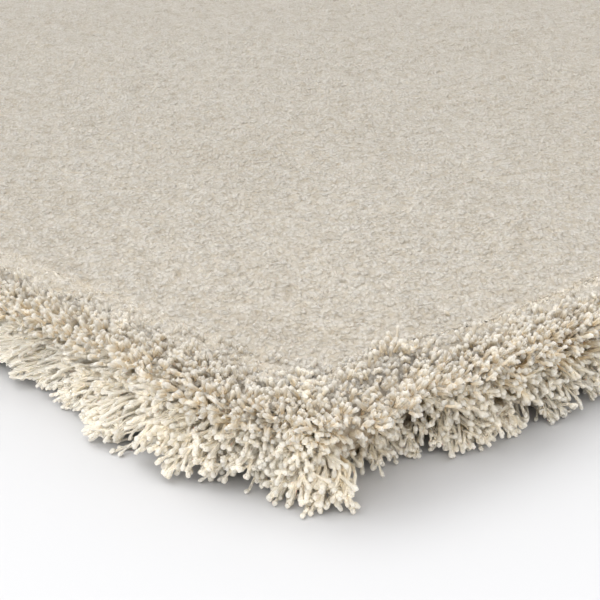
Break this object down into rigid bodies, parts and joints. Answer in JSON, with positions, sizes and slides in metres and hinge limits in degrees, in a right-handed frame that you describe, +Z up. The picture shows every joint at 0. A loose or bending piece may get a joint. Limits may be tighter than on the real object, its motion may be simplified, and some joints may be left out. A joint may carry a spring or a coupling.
{
  "type": "shag rug",
  "caption": "Rectangular shag rug lying flat, with a deep cut pile of twisted yarn that spills over its edges in loose locks, on a woven ground cloth.",
  "frame": {"origin": "on the floor under the middle of the rug", "axes": "+X along the rug's length, +Y across its width, +Z up through the pile"},
  "size_m": [1.7, 1.2, 0.0476],
  "materials": {
    "pile_yarn": "ivory heat-set twisted yarn, soft and slightly glossy, with warmer depths between the tufts",
    "ground_weave": "plain matt oatmeal weave"
  },
  "bodies": {
    "root": {"ground_cloth": "ground_weave", "shag_pile": "pile_yarn"}
  },
  "joints": []
}
